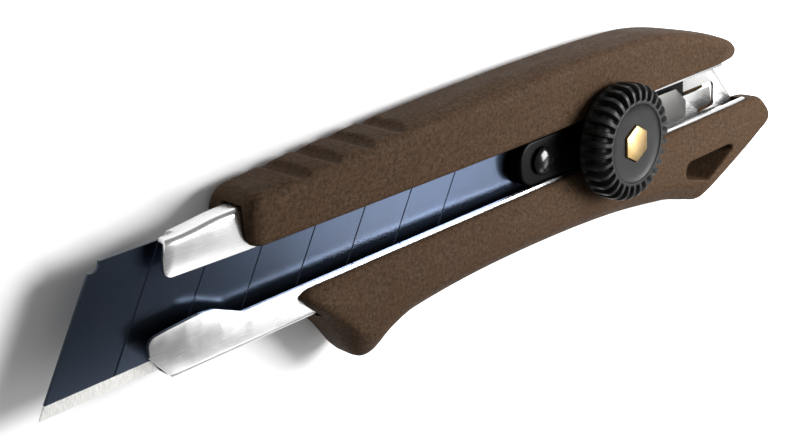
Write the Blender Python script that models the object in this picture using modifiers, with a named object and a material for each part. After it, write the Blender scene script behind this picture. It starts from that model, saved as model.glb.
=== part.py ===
"""Heavy-duty snap-off utility knife with a wheel lock.

Frame while modelling: X runs from the blade tip to the tail, Y from the cutting
edge to the spine, Z from the blade's front face up to the lock wheel.  A datum
empty then moves everything so that the origin is the middle of the footprint.
Lengths are in metres.
"""
import math

import bpy
import bmesh
from mathutils import Vector

# ---- Blade -------------------------------------------------------------
BLADE_TIP_X = 0.0005
BLADE_LENGTH = 0.100
BLADE_WIDTH = 0.018
BLADE_THICK = 0.0005
BLADE_ANGLE = math.radians(59)
BLADE_PITCH = 0.010
BLADE_SCORES = 7
SCORE_DEPTH = 0.00012
SCORE_WIDTH = 0.0003
GRIND_WIDTH = 0.0019
EDGE_LAND = 0.00008
SPINE_NOTCH = 0.0012

# ---- Steel sleeve -------------------------------------------------------
SHEET = 0.0006
BLADE_SIDE_GAP = 0.00015
LIP_CLEAR = 0.0022
BACK_GAP = 0.00012
SLEEVE_BEND = 0.0011
LIP_WIDTH = 0.0047
NOSE_X = 0.0157
TAIL_FROM_BLADE = 0.0603
TAIL_SLANT = 0.93
TAIL_TOP_CUT = 0.0028
FLARE = 0.0008
FLARE_START_X = 0.0220
FLARE_END_X = 0.0310

# ---- Handle -------------------------------------------------------------
FRAME_WALL = 0.0008
FIT_GAP = 0.0003
CUT = 0.010
OVERLAP = 0.00001
GRIP_BACK_Z = -0.0062
TAIL_OVERHANG = 0.0029
UPPER_TAIL_STEP = 0.0116
UPPER_NOSE_X = 0.0327
LOWER_NOSE_X = 0.0404
NOSE_ROUND = 0.0024
NOSE_INSET = 0.6
FRAME_SETBACK = 0.0045
LOWER_EDGE_Y = 0.0042
UPPER_EDGE_RISE = 0.0016
LOWER_EDGE_RISE = 0.0008
UPPER_FACE_RISE = 0.0032
LOWER_FACE_RISE = 0.0024
WEB_INSET = 0.0003
GROOVE_XS = (0.0424, 0.0485, 0.0549, 0.0618)
GROOVE_RADIUS = 0.0019
GROOVE_DEPTH = 0.0009

# ---- Slider, placed from the middle of the blade's rear end ---------------
SLIDER_AHEAD = 0.0157
STUD_AHEAD = 0.0101
WHEEL_BEHIND = 0.0064
RIDGE_BEHIND = 0.0191
SLIDER_BEHIND = 0.0361
RIDGE_RISE = 0.0001
PLATE_SEAT_Z = 0.0009
BOSS_RISE = 0.0018
BOSS_GAP = 0.0001
STUD_RADIUS = 0.0022
STUD_HEAD_LAP = 0.0003
TAIL_PLATE_THICK = 0.0005
TAIL_PLATE_GAP = 0.0004

# ---- Lock wheel ---------------------------------------------------------
WHEEL_RADIUS = 0.0105
WHEEL_LIFT = 0.0007
WHEEL_HEIGHT = 0.0054
WHEEL_RIM = 0.00335
RIBS = 30
RIB_DEPTH = 0.0011
HEX_ACROSS = 0.0058
HEX_DEPTH = 0.0020
HEX_GAP = 0.00015
BOLT_RADIUS = 0.0020
WASHER_RADIUS = 0.0040
WASHER_THICK = 0.0005
SHOE_LENGTH = 0.0072
SHOE_WIDTH = 0.0078
SHOE_THICK = 0.0008

# ---- Places that follow from the sizes -----------------------------------
MID_Y = BLADE_WIDTH / 2
BLADE_REAR_X = BLADE_TIP_X + BLADE_LENGTH + MID_Y / math.tan(BLADE_ANGLE)
TAIL_X = BLADE_REAR_X + TAIL_FROM_BLADE
TAIL_END_X = TAIL_X + TAIL_OVERHANG
UPPER_TAIL_X = TAIL_END_X - UPPER_TAIL_STEP
SLIDER_NOSE_X = BLADE_REAR_X - SLIDER_AHEAD
STUD_X = BLADE_REAR_X - STUD_AHEAD
WHEEL_X = BLADE_REAR_X + WHEEL_BEHIND
RIDGE_REAR_X = BLADE_REAR_X + RIDGE_BEHIND
SLIDER_REAR_X = BLADE_REAR_X + SLIDER_BEHIND
SLOT_LOW_Y = LIP_WIDTH
SLOT_HIGH_Y = BLADE_WIDTH - LIP_WIDTH
SLOT_HALF = MID_Y - LIP_WIDTH
BOSS_RADIUS = SLOT_HALF - BOSS_GAP
TAIL_PLATE_HALF = SLOT_HALF - TAIL_PLATE_GAP
STUD_HEAD_RADIUS = STUD_RADIUS + STUD_HEAD_LAP
WHEEL_FACE_RADIUS = WHEEL_RADIUS - WHEEL_RIM
SLEEVE_BACK_IN = -BLADE_THICK - BACK_GAP
SLEEVE_BACK_OUT = SLEEVE_BACK_IN - SHEET
LIP_IN_Z = LIP_CLEAR
LIP_OUT_Z = LIP_CLEAR + SHEET
RIDGE_TOP_Z = LIP_OUT_Z + RIDGE_RISE
BOSS_TOP_Z = LIP_OUT_Z + BOSS_RISE
UPPER_EDGE_Z = LIP_OUT_Z + UPPER_EDGE_RISE
LOWER_EDGE_Z = LIP_OUT_Z + LOWER_EDGE_RISE
UPPER_FACE_Z = LIP_OUT_Z + UPPER_FACE_RISE
LOWER_FACE_Z = LIP_OUT_Z + LOWER_FACE_RISE
WASHER_LOW_Z = BOSS_TOP_Z + FIT_GAP
WHEEL_BOTTOM_Z = BOSS_TOP_Z + WASHER_THICK + WHEEL_LIFT
WHEEL_TOP_Z = WHEEL_BOTTOM_Z + WHEEL_HEIGHT
SLEEVE_LOW_IN = -BLADE_SIDE_GAP
SLEEVE_LOW_OUT = SLEEVE_LOW_IN - SHEET
SLEEVE_HIGH_IN = BLADE_WIDTH + BLADE_SIDE_GAP
SLEEVE_HIGH_OUT = SLEEVE_HIGH_IN + SHEET
FRAME_BACK_IN = SLEEVE_BACK_OUT - FIT_GAP
FRAME_BACK_OUT = FRAME_BACK_IN - FRAME_WALL
FRAME_LOW_IN = SLEEVE_LOW_OUT - FIT_GAP
FRAME_LOW_OUT = FRAME_LOW_IN - FRAME_WALL
FRAME_HIGH_IN = SLEEVE_HIGH_OUT + FLARE + FIT_GAP
FRAME_HIGH_OUT = FRAME_HIGH_IN + FRAME_WALL


# ---- Scene helpers ------------------------------------------------------
def clear_scene():
    for item in list(bpy.data.objects):
        bpy.data.objects.remove(item, do_unlink=True)


def new_collection(name):
    group = bpy.data.collections.new(name)
    bpy.context.scene.collection.children.link(group)
    return group


clear_scene()
PARTS = new_collection("utility_knife")
CUTTERS = new_collection("utility_knife_cutters")


def material(name, color, rough, metal):
    mat = bpy.data.materials.new(name)
    mat.use_nodes = True
    shader = mat.node_tree.nodes["Principled BSDF"]
    shader.inputs["Base Color"].default_value = (*color, 1)
    shader.inputs["Roughness"].default_value = rough
    shader.inputs["Metallic"].default_value = metal
    mat.diffuse_color = (*color, 1)
    return mat


GRIP_RUBBER = material("grip_elastomer", (0.125, 0.085, 0.065), 0.85, 0.0)
BLACK_PLASTIC = material("black_plastic", (0.012, 0.012, 0.013), 0.4, 0.0)
WHEEL_PLASTIC = material("wheel_plastic", (0.020, 0.020, 0.021), 0.35, 0.0)
SLEEVE_STEEL = material("sleeve_steel", (0.72, 0.72, 0.73), 0.25, 1.0)
BLADE_STEEL = material("blade_steel", (0.050, 0.075, 0.130), 0.3, 1.0)
PLATE_STEEL = material("plate_steel", (0.40, 0.39, 0.38), 0.4, 1.0)
BRASS = material("brass", (0.80, 0.62, 0.32), 0.35, 1.0)


def add_object(name, mesh, mat=None, smooth=30):
    """Put a mesh in the parts collection, or among the cutters when it has no material."""
    item = bpy.data.objects.new(name, mesh)
    if mat is None:
        CUTTERS.objects.link(item)
        item.hide_render = True
        item.display_type = "WIRE"
        return item
    PARTS.objects.link(item)
    mesh.materials.append(mat)
    mesh.shade_smooth()
    mesh.set_sharp_from_angle(angle=math.radians(smooth))
    return item


def boolean(target, cutter, kind="DIFFERENCE"):
    mod = target.modifiers.new(cutter.name, "BOOLEAN")
    mod.operation = kind
    mod.solver = "EXACT"
    mod.object = cutter
    return mod


def mesh_from(name, verts, faces):
    mesh = bpy.data.meshes.new(name)
    mesh.from_pydata([tuple(v) for v in verts], [], faces)
    work = bmesh.new()
    work.from_mesh(mesh)
    bmesh.ops.recalc_face_normals(work, faces=work.faces)
    if work.calc_volume(signed=True) < 0:
        bmesh.ops.reverse_faces(work, faces=work.faces)
    work.to_mesh(mesh)
    work.free()
    return mesh


# ---- Outline helpers ----------------------------------------------------
def rounded(corners, segments=4):
    """Round each corner (u, v, radius) of a closed outline with an arc."""
    points = []
    count = len(corners)
    for i, (u, v, radius) in enumerate(corners):
        here = Vector((u, v))
        before = Vector(corners[i - 1][:2]) - here
        after = Vector(corners[(i + 1) % count][:2]) - here
        if radius <= 0:
            points.append(here)
            continue
        half = before.angle(after) / 2
        reach = min(radius / math.tan(half), 0.45 * before.length, 0.45 * after.length)
        start = here + before.normalized() * reach
        end = here + after.normalized() * reach
        middle = (before.normalized() + after.normalized()).normalized()
        centre = here + middle * (reach / math.cos(half))
        arm_a = start - centre
        arm_b = end - centre
        sweep = arm_a.angle(arm_b)
        for k in range(segments + 1):
            share = k / segments
            mix = (arm_a * math.sin((1 - share) * sweep) + arm_b * math.sin(share * sweep))
            points.append(centre + mix / math.sin(sweep))
    return points


def spline(stations, x):
    """Smooth value at x through (x, value) stations (Catmull-Rom with clamped ends)."""
    if x <= stations[0][0]:
        return stations[0][1]
    if x >= stations[-1][0]:
        return stations[-1][1]
    i = max(k for k in range(len(stations) - 1) if stations[k][0] <= x)
    x0, y0 = stations[i]
    x1, y1 = stations[i + 1]
    span = x1 - x0

    def slope(k):
        if k == 0 or k == len(stations) - 1:
            j = min(k, len(stations) - 2)
            return (stations[j + 1][1] - stations[j][1]) / (stations[j + 1][0] - stations[j][0])
        return (stations[k + 1][1] - stations[k - 1][1]) / (stations[k + 1][0] - stations[k - 1][0])

    t = (x - x0) / span
    a = slope(i) * span
    b = slope(i + 1) * span
    return ((2 * t ** 3 - 3 * t ** 2 + 1) * y0 + (t ** 3 - 2 * t ** 2 + t) * a
            + (3 * t ** 2 - 2 * t ** 3) * y1 + (t ** 3 - t ** 2) * b)


def ring_loft(name, rings):
    """Skin a closed body over rings of equal point counts."""
    count = len(rings[0])
    verts = [point for ring in rings for point in ring]
    faces = []
    for r in range(len(rings) - 1):
        for k in range(count):
            nxt = (k + 1) % count
            faces.append((r * count + k, r * count + nxt, (r + 1) * count + nxt, (r + 1) * count + k))
    faces.append(tuple(range(count)))
    last = (len(rings) - 1) * count
    faces.append(tuple(last + k for k in range(count)))
    return mesh_from(name, verts, faces)


def prism(name, outline, z_low, z_high, mat=None):
    """A flat outline of (x, y) points, extruded in Z."""
    rings = [[(p[0], p[1], z) for p in outline] for z in (z_low, z_high)]
    return add_object(name, ring_loft(name, rings), mat)


def box(name, low, high, mat=None):
    mesh = bpy.data.meshes.new(name)
    work = bmesh.new()
    bmesh.ops.create_cube(work, size=1)
    low = Vector(low)
    high = Vector(high)
    for vert in work.verts:
        share = vert.co + Vector((0.5, 0.5, 0.5))
        vert.co = Vector(low[k] + (high[k] - low[k]) * share[k] for k in range(3))
    work.to_mesh(mesh)
    work.free()
    return add_object(name, mesh, mat)


def cylinder(name, centre, radius, z_low, z_high, mat=None, sides=32):
    mesh = bpy.data.meshes.new(name)
    work = bmesh.new()
    bmesh.ops.create_cone(work, cap_ends=True, segments=sides, radius1=radius, radius2=radius,
                          depth=z_high - z_low)
    for vert in work.verts:
        vert.co += Vector((centre[0], centre[1], (z_low + z_high) / 2))
    work.to_mesh(mesh)
    work.free()
    return add_object(name, mesh, mat)


def turned(name, centre, profile, mat=None, sides=32):
    """Turn a profile of (radius, z) points, from the top axis point down to the bottom one."""
    mesh = bpy.data.meshes.new(name)
    verts = [(r, 0, z) for r, z in profile]
    mesh.from_pydata(verts, [(k, k + 1) for k in range(len(verts) - 1)], [])
    item = add_object(name, mesh, mat)
    item.location = (centre[0], centre[1], 0)
    screw = item.modifiers.new("turn", "SCREW")
    screw.axis = "Z"
    screw.angle = math.tau
    screw.steps = sides
    screw.render_steps = sides
    screw.use_merge_vertices = True
    screw.merge_threshold = 0.00001
    return item


# ---- Blade --------------------------------------------------------------
def shear(point_y):
    return point_y / math.tan(BLADE_ANGLE)


def make_blade():
    mid = -BLADE_THICK / 2
    section = [(0, mid - EDGE_LAND / 2), (GRIND_WIDTH, -BLADE_THICK), (BLADE_WIDTH, -BLADE_THICK),
               (BLADE_WIDTH, 0), (GRIND_WIDTH, 0), (0, mid + EDGE_LAND / 2)]
    rings = [[(BLADE_TIP_X + along + shear(y), y, z) for y, z in section]
             for along in (0, BLADE_LENGTH)]
    blade = add_object("blade", ring_loft("blade", rings), BLADE_STEEL)
    corner = BLADE_TIP_X + shear(BLADE_WIDTH)
    notch = cylinder("blade_notch", (corner - 0.0002, BLADE_WIDTH - 0.0001), SPINE_NOTCH,
                     -0.002, 0.002, sides=20)
    boolean(blade, notch)
    hole = cylinder("blade_hole", (STUD_X, MID_Y), STUD_RADIUS + FIT_GAP, -CUT, CUT)
    boolean(blade, hole)
    for k in range(1, BLADE_SCORES + 1):
        start = BLADE_TIP_X + k * BLADE_PITCH
        corners = []
        for side, y in ((-1, GRIND_WIDTH), (1, GRIND_WIDTH), (1, BLADE_WIDTH + 0.001),
                        (-1, BLADE_WIDTH + 0.001)):
            corners.append((start + shear(y) + side * SCORE_WIDTH / 2, y))
        score = prism(f"blade_score_{k}", corners, -SCORE_DEPTH, 0.001)
        boolean(blade, score)


# ---- Steel sleeve -------------------------------------------------------
def rect_ring(x, low_y, high_y, low_z, high_z, radius):
    corners = [(low_y, low_z, radius), (high_y, low_z, radius), (high_y, high_z, radius),
               (low_y, high_z, radius)]
    return [(x, p[0], p[1]) for p in rounded(corners)]


def tail_line(y, inset=0.0):
    """X of the slanted rear end of the sleeve at height y."""
    return TAIL_X - inset - TAIL_SLANT * y


def tail_outline(inset, low_y, high_y, start_x):
    """Outline of what the sleeve's slanted tail keeps, set forward by inset."""
    break_y = BLADE_WIDTH - 0.0055
    return [(start_x, low_y), (tail_line(low_y, inset), low_y),
            (tail_line(break_y, inset), break_y),
            (tail_line(high_y, inset) - TAIL_TOP_CUT, high_y), (start_x, high_y)]


def sleeve_slot_outline():
    """The open slot between the two lips, with the lips' free front ends."""
    far = TAIL_X + 0.005
    front = NOSE_X - 0.006
    above = BLADE_WIDTH + 0.0035
    corners = [(front, -0.0030, 0), (NOSE_X + 0.0033, -0.0030, 0),
               (NOSE_X + 0.0033, -0.0008, 0), (NOSE_X, 0.0036, 0.0006),
               (NOSE_X + 0.0001, 0.0062, 0.0022), (0.0190, 0.0066, 0.003),
               (0.0243, 0.0070, 0.002), (0.0266, 0.0067, 0.0012), (0.0311, SLOT_LOW_Y, 0.0016),
               (far, SLOT_LOW_Y, 0), (far, SLOT_HIGH_Y, 0), (0.0330, SLOT_HIGH_Y, 0.02),
               (0.0196, SLOT_HIGH_Y + 0.0003, 0.0015), (0.0198, BLADE_WIDTH - 0.0017, 0.002),
               (0.0218, above, 0), (front, above, 0)]
    return rounded(corners)


def sleeve_back_outline():
    """Everything ahead of the back wall's front edge."""
    front = NOSE_X - 0.006
    above = BLADE_WIDTH + 0.0035
    corners = [(front, -0.0030, 0), (NOSE_X + 0.0033, -0.0030, 0),
               (NOSE_X + 0.0033, -0.0008, 0), (NOSE_X, 0.0036, 0.0006),
               (NOSE_X + 0.0003, 0.0060, 0.002), (0.0205, SLOT_HIGH_Y + 0.0003, 0.003),
               (0.0230, BLADE_WIDTH, 0.002), (0.0234, above, 0), (front, above, 0)]
    return rounded(corners)


def sleeve_rings(high, low, back, lip, radius, reach):
    """Rings of the sleeve's section along X; its spine side flares behind the nose."""
    rings = []
    stations = ((NOSE_X - reach, 0), (FLARE_START_X, 0), (FLARE_END_X, FLARE),
                (TAIL_X + reach, FLARE))
    for x, flare in stations:
        rings.append(rect_ring(x, low, high + flare, back, lip, radius))
    return rings


def make_sleeve():
    outer = sleeve_rings(SLEEVE_HIGH_OUT, SLEEVE_LOW_OUT, SLEEVE_BACK_OUT, LIP_OUT_Z,
                         SLEEVE_BEND, 0.003)
    sleeve = add_object("steel_sleeve", ring_loft("steel_sleeve", outer), SLEEVE_STEEL)
    inner = sleeve_rings(SLEEVE_HIGH_IN, SLEEVE_LOW_IN, SLEEVE_BACK_IN, LIP_IN_Z,
                         SLEEVE_BEND - SHEET, 0.005)
    boolean(sleeve, add_object("sleeve_inside", ring_loft("sleeve_inside", inner)))
    level = 0.0010
    boolean(sleeve, prism("sleeve_slot", sleeve_slot_outline(), level, 0.006))
    boolean(sleeve, prism("sleeve_back_front", sleeve_back_outline(), -0.004, level))
    keep = tail_outline(0, SLEEVE_LOW_OUT - 0.001, SLEEVE_HIGH_OUT + FLARE + 0.001,
                        NOSE_X - 0.004)
    boolean(sleeve, prism("sleeve_tail", keep, -0.004, 0.006), "INTERSECT")
    boolean(sleeve, prism("sleeve_tongue_slot", tongue_slot_outline(), -0.004, 0.0))


def tongue_slot_outline():
    """U-shaped slot round the tongue that is bent into the frame at the tail."""
    left = TAIL_X - 0.0222
    right = TAIL_X - 0.0106
    low = MID_Y - 0.0052
    high = MID_Y + 0.0004
    width = 0.0009
    return [(left, high), (left, high - width), (right - width - 0.0012, high - width),
            (right - width, high - width - 0.0012), (right - width, low + width),
            (left + 0.0060, low + width), (left + 0.0060, low), (right, low),
            (right, high - 0.0016), (right - 0.0016, high)]


# ---- Handle -------------------------------------------------------------
# Stations along the grips, drawn for a 100 mm blade.  The upper grip's Y is from the spine.
DRAWN_LENGTH = 0.100
STRETCH_FROM_X = 0.070
STRETCH_TO_X = 0.120
UPPER_TOP = ((0.0327, 0.0034), (0.0610, 0.0058), (0.0934, 0.0074), (0.1212, 0.0077),
             (0.1310, 0.0069), (0.1435, 0.0041), (0.1530, 0.0010), (0.1568, -0.0012),
             (0.1575, -0.0022))
UPPER_EDGE = ((0.0327, -0.0045), (0.0850, -0.0046), (0.1390, -0.0040), (0.1575, -0.0040))
UPPER_SINK = ((0.1200, 0.0), (0.1500, 0.0007), (0.1575, 0.0018))
UPPER_LIFT = ((0.1435, 0.0), (0.1575, 0.0035))
CREASE_DROP = ((0.0327, 0.0004), (0.0500, 0.0005), (0.0830, 0.0013), (0.1040, 0.0008),
               (0.1575, 0.0006))
LOWER_BOTTOM = ((0.0404, 0.0030), (0.0450, -0.0020), (0.0480, -0.0060), (0.0502, -0.0096),
                (0.0519, -0.0112), (0.0541, -0.0113), (0.0580, -0.0091), (0.0637, -0.0073),
                (0.0843, -0.0062), (0.1122, -0.0072), (0.1333, -0.0100), (0.1422, -0.0125),
                (0.1466, -0.0134), (0.1580, -0.0089), (0.1673, -0.0039), (0.1691, -0.0010))
LOWER_EDGE = ((0.0404, 0.0039), (0.0440, LOWER_EDGE_Y), (0.1590, LOWER_EDGE_Y),
              (0.1655, 0.0042), (0.1672, 0.0034), (0.1684, 0.0022), (0.1691, 0.0008))
LANYARD_HOLE = ((0.1369, -0.0058, 0.0014), (0.1376, -0.0027, 0.0016), (0.1526, -0.0027, 0.0007),
                (0.1550, -0.0037, 0.0010), (0.1455, -0.0084, 0.0014))
BACK_LIFT = ((0.1480, 0.0), (0.1600, 0.0024), (0.1691, 0.0044))
TAIL_BACK_ROUND = ((0.1560, 0.0002), (0.1600, 0.0033))


def along_grip(stations, x):
    """Value at x, with the grips' middle taking up a blade longer or shorter than drawn."""
    stretch = BLADE_LENGTH - DRAWN_LENGTH
    share = (x - STRETCH_FROM_X) / (STRETCH_TO_X + stretch - STRETCH_FROM_X)
    return spline(stations, x - stretch * min(max(share, 0), 1))


def upper_section(x, inset):
    top = BLADE_WIDTH + along_grip(UPPER_TOP, x)
    low = BLADE_WIDTH + along_grip(UPPER_EDGE, x)
    squeeze = min(inset, 0.2 * (top - low))
    top -= squeeze
    low += squeeze
    edge = UPPER_EDGE_Z - inset - along_grip(UPPER_SINK, x)
    face = min(UPPER_FACE_Z - inset, edge + 0.4 * (top - low))
    back = GRIP_BACK_Z + inset + along_grip(UPPER_LIFT, x)
    crease = max(top - along_grip(CREASE_DROP, x), (top + low) / 2)
    shoulder = max(top - 0.0030, (top + low) / 2)
    corners = [(low, back, 0.0002), (low, edge, 0.0009), (crease, face, 0.0022),
               (top, min(0.0020, edge), 0.0060), (top - 0.0001, back + 0.0020, 0.0028),
               (shoulder, back, 0.0030)]
    return [(x, p[0], p[1]) for p in rounded(corners)]


def lower_section(x, inset):
    high = along_grip(LOWER_EDGE, x)
    low = along_grip(LOWER_BOTTOM, x)
    squeeze = min(inset, 0.2 * (high - low))
    high -= squeeze
    low += squeeze
    back = GRIP_BACK_Z + inset + along_grip(BACK_LIFT, x)
    edge = LOWER_EDGE_Z - inset
    face = min(LOWER_FACE_Z, LOWER_EDGE_Z + 0.3 * (high - low)) - inset
    belly = high - 0.35 * (high - low)
    shin = low + 0.25 * (high - low)
    corners = [(high, back, along_grip(TAIL_BACK_ROUND, x)), (shin, back, 0.0030),
               (low, back + 0.0030, 0.0030), (low, 0.0022, 0.0030), (shin, face, 0.0040),
               (belly, face, 0.0040), (high, edge, 0.0008)]
    return [(x, p[0], p[1]) for p in rounded(corners)]


def grip_stations(start, end, steps):
    """X places and insets: a rounded nose, an even run, and a short rounded tail."""
    places = []
    for k in range(5):
        turn = math.radians(90 * k / 5)
        places.append((start + NOSE_ROUND * (1 - math.cos(turn)),
                       NOSE_INSET * NOSE_ROUND * (1 - math.sin(turn))))
    first = start + NOSE_ROUND
    last = end - 0.0010
    for k in range(steps + 1):
        places.append((first + (last - first) * k / steps, 0.0))
    places.append((end - 0.0003, 0.0001))
    places.append((end, 0.00025))
    return places


def web_rings():
    """Rings of the web across the back: slanted nose, level run, tail that rises with the grip."""
    low_y = LOWER_EDGE_Y - 0.0052
    high_y = BLADE_WIDTH - 0.0018
    level_end = BACK_LIFT[0][0] + BLADE_LENGTH - DRAWN_LENGTH
    high_end = tail_line(high_y, 0.0030)
    ends = ((LOWER_NOSE_X + 0.0066, UPPER_NOSE_X + 0.0025), (level_end, high_end - 0.0031),
            (tail_line(low_y, 0.0056), high_end))
    rings = []
    for low_x, high_x in ends:
        low_z = GRIP_BACK_Z + WEB_INSET + along_grip(BACK_LIFT, low_x)
        high_z = GRIP_BACK_Z + WEB_INSET + along_grip(BACK_LIFT, high_x)
        rings.append([(low_x, low_y, low_z), (high_x, high_y, high_z),
                      (high_x, high_y, FRAME_BACK_OUT), (low_x, low_y, FRAME_BACK_OUT)])
    return rings


def make_skin():
    upper_rings = [upper_section(x, inset)
                   for x, inset in grip_stations(UPPER_NOSE_X, UPPER_TAIL_X, 30)]
    skin = add_object("grip_skin", ring_loft("grip_skin", upper_rings), GRIP_RUBBER)
    lower_rings = [lower_section(x, inset)
                   for x, inset in grip_stations(LOWER_NOSE_X, TAIL_END_X, 34)]
    lower = add_object("skin_lower", ring_loft("skin_lower", lower_rings))
    boolean(skin, lower, "UNION")
    web = add_object("skin_web", ring_loft("skin_web", web_rings()))
    boolean(skin, web, "UNION")
    ceiling = LIP_OUT_Z + FIT_GAP
    frame_room = prism("skin_frame_pocket", frame_outline(FIT_GAP), FRAME_BACK_OUT - FIT_GAP,
                       ceiling)
    boolean(skin, frame_room)
    sleeve_room = tail_outline(-FIT_GAP, SLEEVE_LOW_OUT - FIT_GAP,
                               SLEEVE_HIGH_OUT + FLARE + FIT_GAP, NOSE_X)
    boolean(skin, prism("skin_sleeve_pocket", sleeve_room, SLEEVE_BACK_OUT - FIT_GAP, ceiling))
    for k, x in enumerate(GROOVE_XS):
        centre = (x, BLADE_WIDTH + along_grip(UPPER_TOP, x) + GROOVE_RADIUS - GROOVE_DEPTH)
        boolean(skin, cylinder(f"skin_groove_{k}", centre, GROOVE_RADIUS, -CUT, CUT, sides=24))
    stretch = BLADE_LENGTH - DRAWN_LENGTH
    hole = [(x + stretch, y, radius) for x, y, radius in LANYARD_HOLE]
    boolean(skin, prism("skin_lanyard_hole", rounded(hole), -CUT, CUT))


def frame_outline(grow=0.0):
    """Plan outline of the rigid frame: slanted ends, both hidden inside the soft skin."""
    low = FRAME_LOW_OUT - grow
    high = FRAME_HIGH_OUT + grow
    rear = 0.0120 - grow
    return [(LOWER_NOSE_X + 0.0085 - grow, low), (tail_line(low, rear), low),
            (tail_line(high, rear), high), (UPPER_NOSE_X + FRAME_SETBACK - grow, high)]


def make_frame():
    frame = prism("handle_frame", frame_outline(), FRAME_BACK_OUT, LIP_OUT_Z, BLACK_PLASTIC)
    above = LIP_OUT_Z + 0.004
    room = [rect_ring(x, FRAME_LOW_IN, FRAME_HIGH_IN, FRAME_BACK_IN, above, SLEEVE_BEND)
            for x in (0, TAIL_X + CUT)]
    boolean(frame, add_object("frame_room", ring_loft("frame_room", room)))


# ---- Slider -------------------------------------------------------------
def make_slider(parent):
    side_low = SLEEVE_LOW_IN + FIT_GAP
    side_high = SLEEVE_HIGH_IN - FIT_GAP
    floor = FIT_GAP
    ceiling = LIP_IN_Z - FIT_GAP
    body = box("slider_body", (SLIDER_NOSE_X + 0.0062, side_low, floor),
               (RIDGE_REAR_X, side_high, ceiling), BLACK_PLASTIC)
    half = (SLOT_HIGH_Y - SLOT_LOW_Y) / 2 - FIT_GAP
    ridge_rear = RIDGE_REAR_X - OVERLAP
    ridge = [(SLIDER_NOSE_X, MID_Y - half, half), (ridge_rear, MID_Y - half, 0.0005),
             (ridge_rear, MID_Y + half, 0.0005), (SLIDER_NOSE_X, MID_Y + half, half)]
    boolean(body, prism("slider_ridge", rounded(ridge, 8), floor + OVERLAP, RIDGE_TOP_Z), "UNION")
    rear = box("slider_rear", (RIDGE_REAR_X - 0.0070, SLOT_LOW_Y + FIT_GAP, floor - OVERLAP),
               (SLIDER_REAR_X, SLOT_HIGH_Y - FIT_GAP, PLATE_SEAT_Z))
    boolean(body, rear, "UNION")
    boss = cylinder("slider_boss", (WHEEL_X, MID_Y), BOSS_RADIUS, 0.0010, BOSS_TOP_Z)
    boolean(body, boss, "UNION")
    bore = cylinder("slider_bore", (WHEEL_X, MID_Y), BOLT_RADIUS + FIT_GAP, -CUT, CUT, sides=28)
    boolean(body, bore)
    stud_bore = cylinder("slider_stud_bore", (STUD_X, MID_Y), STUD_RADIUS + FIT_GAP, -CUT, CUT)
    boolean(body, stud_bore)
    shoe_half = (SHOE_LENGTH / 2 + FIT_GAP, SHOE_WIDTH / 2 + FIT_GAP)
    pocket = box("slider_shoe_pocket", (WHEEL_X - shoe_half[0], MID_Y - shoe_half[1], -0.002),
                 (WHEEL_X + shoe_half[0], MID_Y + shoe_half[1], 0.0013))
    boolean(body, pocket)
    plate_front = RIDGE_REAR_X - 0.0060
    plate_rear = SLIDER_REAR_X - 0.0001
    plate_low = MID_Y - TAIL_PLATE_HALF
    plate_high = MID_Y + TAIL_PLATE_HALF
    slot = box("slider_plate_slot", (plate_front - FIT_GAP, plate_low - FIT_GAP, PLATE_SEAT_Z),
               (RIDGE_REAR_X + 0.002, plate_high + FIT_GAP,
                PLATE_SEAT_Z + TAIL_PLATE_THICK + 2 * FIT_GAP))
    boolean(body, slot)
    plate = [(plate_front, plate_low, 0), (plate_rear, plate_low, 0.0012),
             (plate_rear, MID_Y + 0.0005, 0.0006), (plate_rear - 0.0035, plate_high, 0.0006),
             (plate_front, plate_high, 0)]
    tail_plate = prism("slider_tail_plate", rounded(plate), PLATE_SEAT_Z + FIT_GAP,
                       PLATE_SEAT_Z + FIT_GAP + TAIL_PLATE_THICK, PLATE_STEEL)
    head_z = RIDGE_TOP_Z + FIT_GAP
    stud = turned("blade_stud", (STUD_X, MID_Y),
                  [(0, head_z + 0.0012), (0.0008, head_z + 0.00115), (0.0016, head_z + 0.0009),
                   (0.0022, head_z + 0.0005), (STUD_HEAD_RADIUS, head_z), (STUD_RADIUS, head_z),
                   (STUD_RADIUS, -BLADE_THICK), (0, -BLADE_THICK)], BLACK_PLASTIC)
    for item in (body, tail_plate, stud):
        item.parent = parent
    bpy.data.objects["blade"].parent = parent


# ---- Lock wheel ---------------------------------------------------------
def wheel_profile():
    """(radius, z) of the rib crests and of the groove floors, from the rim's bottom up."""
    top = WHEEL_TOP_Z
    low = WHEEL_BOTTOM_Z
    rim = WHEEL_RADIUS
    root = WHEEL_RADIUS - RIB_DEPTH
    face = WHEEL_FACE_RADIUS + 0.0002
    crest = [(rim - 0.0008, low), (rim - 0.0001, low + 0.0006), (rim, low + 0.0012),
             (rim, top - 0.0016), (rim - 0.0004, top - 0.0008), (rim - 0.0012, top - 0.0002),
             (rim - 0.0021, top), (face, top)]
    floor = [(rim - 0.0008, low), (rim - 0.0001, low + 0.0006), (rim, low + 0.0011),
             (root, low + 0.0013), (root, top - 0.0022), (root - 0.0005, top - 0.0013),
             (face + 0.0004, top - 0.0009), (face, top)]
    return crest, floor


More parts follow.
